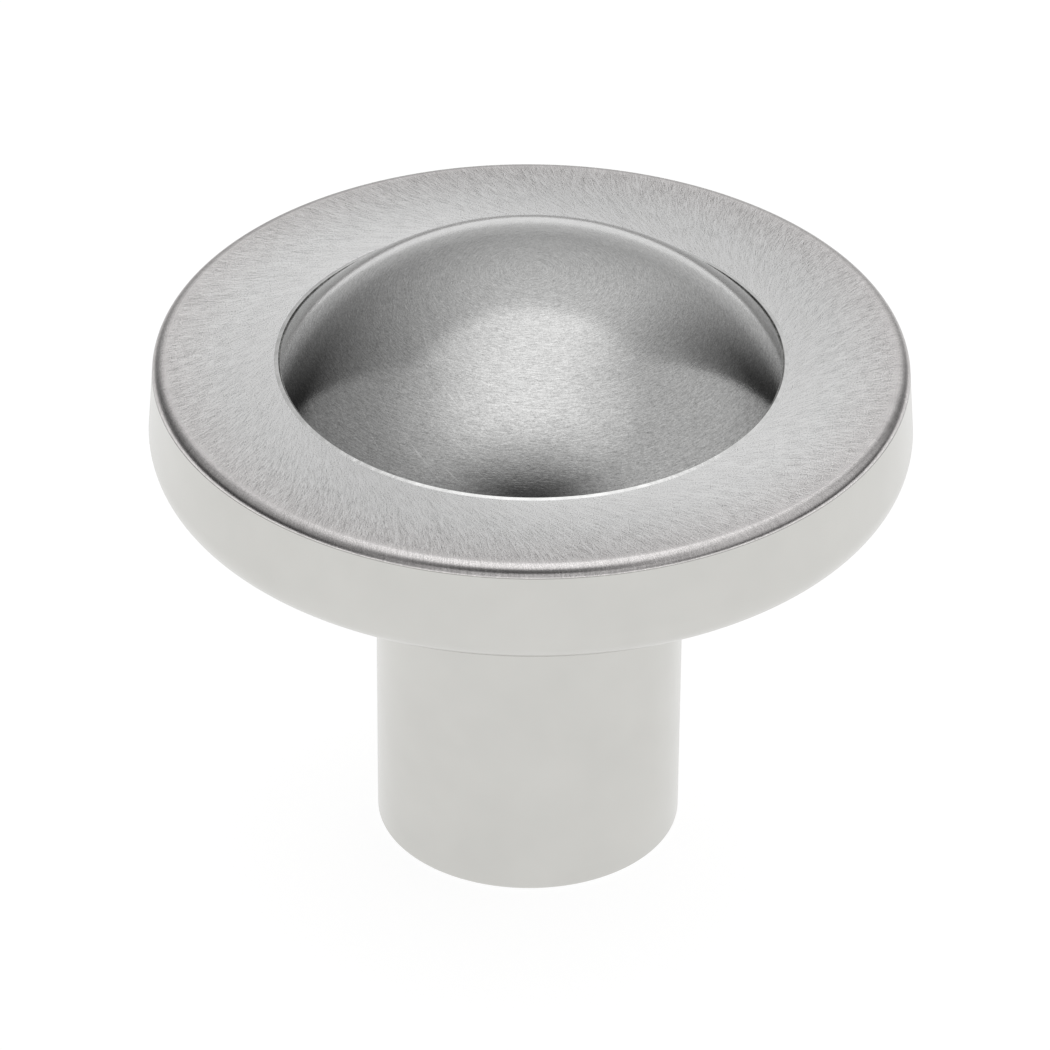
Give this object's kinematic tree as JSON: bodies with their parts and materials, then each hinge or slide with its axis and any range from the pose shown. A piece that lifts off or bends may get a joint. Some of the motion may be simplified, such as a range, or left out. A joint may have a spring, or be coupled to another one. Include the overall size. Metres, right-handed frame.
{
  "type": "cabinet knob",
  "caption": "Round cabinet knob with a flat-rimmed disc head, a dome rising from its middle and a plain stem tapped for a screw, for pulling a door or drawer open.",
  "frame": {"origin": "centre of the flat base face, where the stem meets the door or drawer front", "axes": "+Z along the knob's own axis, from the base face out to the top of the dome; it is round about Z, so X and Y are free"},
  "size_m": [0.035, 0.035, 0.0296],
  "materials": {
    "satin_nickel": "satin, finely brushed on the rim and dome, smoother on the side and stem"
  },
  "bodies": {
    "root": {"knob": "satin_nickel"}
  },
  "joints": []
}
